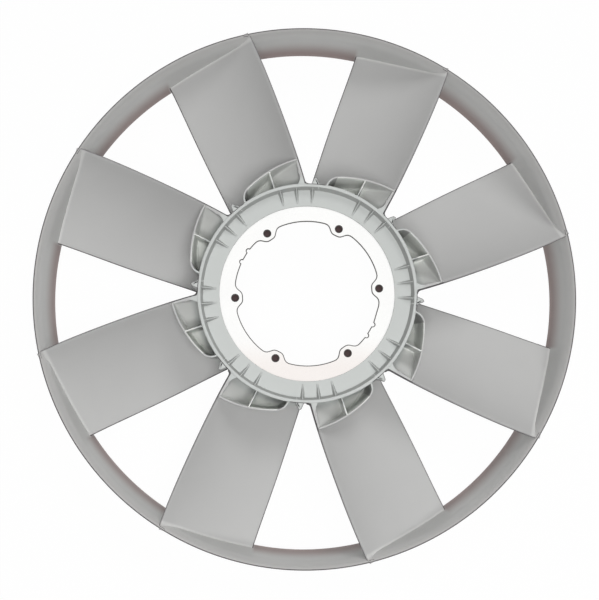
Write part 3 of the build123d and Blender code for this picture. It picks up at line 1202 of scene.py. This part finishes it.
def metal_material(drift):
    """Bright zinc on rolled sheet, darker and warmer on its near side by a painted reflection, with
    dark sheared edges.
    """
    material, tree, shader = new_material("plate_metal")
    place = node(tree, "ShaderNodeTexCoord", "place", -1300, 0).outputs["Object"]
    rolled = node(tree, "ShaderNodeMapping", "rolled grain", -1150, -250, {
        "Vector": place, "Scale": ROLLED_STRETCH}).outputs[0]
    tone = node(tree, "ShaderNodeGroup", "tone", -900, 250, {
        "Point": place, "Cloud Scale": 20.0, "Depth": 0.05}, node_tree=drift).outputs["Shade"]
    grain = node(tree, "ShaderNodeGroup", "grain", -900, -150, {
        "Point": rolled, "Grain Scale": 1800.0}, node_tree=drift).outputs["Grain"]

    along = split_node(tree, "where", -1100, 450, place)["Y"]
    # Painted reflection: the plate's near side, towards -Y, is darker and warmer.
    reflecting_side = fade(tree, "near side", -900, 450, along, *REFLECTION_SIDE_FADE, MM)
    zinc = mix_node(tree, "zinc with painted reflection", -600, 300, reflecting_side,
                    BRIGHT_ZINC_COLOUR, REFLECTED_ZINC_COLOUR)
    facing = node(tree, "ShaderNodeNewGeometry", "facing", -900, -450).outputs["Normal"]
    upward = split_node(tree, "split", -700, -450, facing)["Z"]
    upright = math_node(tree, "either face", "ABSOLUTE", -600, -600, upward)
    edge = range_node(tree, "sheared edge", -500, -450, upright, *BARE_EDGE_NORMALS)
    colour = mix_node(tree, "zinc or bare edge", -250, 0, edge, zinc, BARE_EDGE_COLOUR)
    colour = mix_node(tree, "with tone", 0, 100, 1.0, colour, tone, "MULTIPLY")

    rough = range_node(tree, "roughness", -250, -200, grain, *GRAIN_VALUES, *METAL_ROUGHNESS)
    coated = math_node(tree, "zinc coat", "SUBTRACT", -250, -600, 1.0, edge)
    bump = node(tree, "ShaderNodeBump", "rolled lines", 0, -300, {
        "Height": grain, "Strength": 0.05, "Distance": 0.0002})
    feed(tree, shader.inputs["Base Color"], colour)
    feed(tree, shader.inputs["Roughness"], rough)
    feed(tree, shader.inputs["Metallic"], coated)
    feed(tree, shader.inputs["Normal"], bump.outputs[0])
    return material


def hole_shade_card_material():
    """Dark card, a little red, that stands for the shade seen through the bolt holes."""
    material, _, shader = new_material("hole_shade_card")
    shader.inputs["Base Color"].default_value = (0.075, 0.052, 0.052, 1.0)
    shader.inputs["Roughness"].default_value = 0.9
    return material


def seen_ray(tree, x, y):
    """A factor of 1 for what the camera, a reflection or a glass sees."""
    rays = node(tree, "ShaderNodeLightPath", "rays", x, y).outputs
    seen = math_node(tree, "camera or gloss", "MAXIMUM", x + 200, y,
                     rays["Is Camera Ray"], rays["Is Glossy Ray"])
    return math_node(tree, "or glass", "MAXIMUM", x + 400, y, seen, rays["Is Transmission Ray"])


FLOOR_WHITENESS = 0.975


def floor_material():
    """Pale paper that stays white where it is seen, apart from a light shadow."""
    material, tree, shader = new_material("pale_floor")
    shader.inputs["Base Color"].default_value = (0.82, 0.82, 0.81, 1.0)
    shader.inputs["Roughness"].default_value = 0.8
    shader.inputs["Specular IOR Level"].default_value = 0.0
    seen = seen_ray(tree, -900, -300)
    share = math_node(tree, "whiteness", "MULTIPLY", -300, -100, seen, FLOOR_WHITENESS)
    glow = node(tree, "ShaderNodeEmission", "white", -200, -300, {"Strength": 1.0})
    paper = node(tree, "ShaderNodeMixShader", "paper", 300, 0, {
        0: share, 1: shader.outputs[0], 2: glow.outputs[0]})
    feed(tree, tree.nodes["Material Output"].inputs["Surface"], paper.outputs[0])
    return material


# ---------------------------------------------------------------- camera, light, stage

# Places and the floor's size in metres, and the power of a lamp in watts
CAMERA_PLACE = (-0.0493, -0.0877, 1.1787)
CAMERA_AIM = (0.0349, 0.0711, -1.0)
CAMERA_LENS = 47.92
SENSOR_WIDTH = 36.0
LAMP_AIM = (0, 0, 0.05)
OVERHEAD = {"place": (0.06, -0.35, 1.75), "size": 1.0, "power": 21.0}
FAR_WINDOW = {"place": (1.5, 4.0, 4.5), "size": 2.6, "power": 108.0}
WORLD_FILL = 0.20
FLOOR_SIZE = 14.0
CARD_GAP = 0.8
CARD_RADIUS = 6.2
CARD_POINTS = 32


def make_camera():
    """The camera above the fan, looking almost straight down."""
    bpy.ops.object.camera_add(location=CAMERA_PLACE)
    camera = bpy.context.object
    camera.name = "camera"
    aim = Vector(CAMERA_AIM).normalized()
    right = aim.cross(Vector((0, 1, 0))).normalized()
    up = right.cross(aim)
    camera.rotation_mode = "QUATERNION"
    camera.rotation_quaternion = Matrix((right, up, -aim)).transposed().to_quaternion()
    camera.data.sensor_fit = "HORIZONTAL"
    camera.data.sensor_width = SENSOR_WIDTH
    camera.data.lens = CAMERA_LENS
    camera.data.clip_start = 0.01
    camera.data.clip_end = 50.0
    bpy.context.scene.camera = camera


def softbox(name, place, size, power):
    """A round soft lamp aimed at the hub. Reflections leave it out."""
    bpy.ops.object.light_add(type="AREA", location=place)
    lamp = bpy.context.object
    lamp.name = name
    lamp.data.shape = "DISK"
    lamp.data.size = size
    lamp.data.energy = power
    lamp.visible_glossy = False
    lamp.rotation_mode = "QUATERNION"
    lamp.rotation_quaternion = (Vector(LAMP_AIM) - Vector(place)).to_track_quat("-Z", "Y")


def light_stage():
    """Two lamps, and a world that is white where it is seen and dimmer as a light."""
    softbox("overhead", **OVERHEAD)
    softbox("far_window", **FAR_WINDOW)
    world = bpy.data.worlds.new("studio")
    bpy.context.scene.world = world
    world.use_nodes = True
    tree = world.node_tree
    back = tree.nodes["Background"]
    seen = seen_ray(tree, -900, 0)
    level = range_node(tree, "level", -300, 0, seen, 0.0, 1.0, WORLD_FILL, 1.0)
    feed(tree, back.inputs["Color"], WHITE)
    feed(tree, back.inputs["Strength"], level)


def make_floor():
    """The paper that the fan lies on."""
    clear_selection()
    bpy.ops.mesh.primitive_plane_add(size=FLOOR_SIZE, location=(0, 0, 0))
    floor = newest("floor")
    floor.data.materials.append(floor_material())


def make_hole_shade_cards():
    """A disc of dark card behind each bolt hole, standing for the shade under the plate, so that the
    holes read as holes.
    """
    material = hole_shade_card_material()
    for index, angle in enumerate(bolt_angles()):
        place = Vector((*at_angle(BOLT_CIRCLE_RADIUS, angle), PLATE_BASE - CARD_GAP)) * MM
        clear_selection()
        bpy.ops.mesh.primitive_circle_add(
            vertices=CARD_POINTS, radius=CARD_RADIUS * MM, fill_type="NGON", location=place)
        card = newest("card_%d" % index)
        card.data.materials.append(material)


# ---------------------------------------------------------------- put together

def dress(piece, material, node_name):
    """Gives a piece its finish and body, and hides the CAD node of the same part."""
    piece.data.materials.clear()
    piece.data.materials.append(material)
    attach(piece, "root")
    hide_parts(node_name)


make_camera()
light_stage()
make_floor()
make_hole_shade_cards()
drift = drift_group()
dress(make_moulding(), plastic_material(drift, sector_group()), "fan_moulding")
dress(make_plate(), metal_material(drift), "mounting_plate")

bpy.context.scene.view_settings.view_transform = "Standard"
clear_selection()
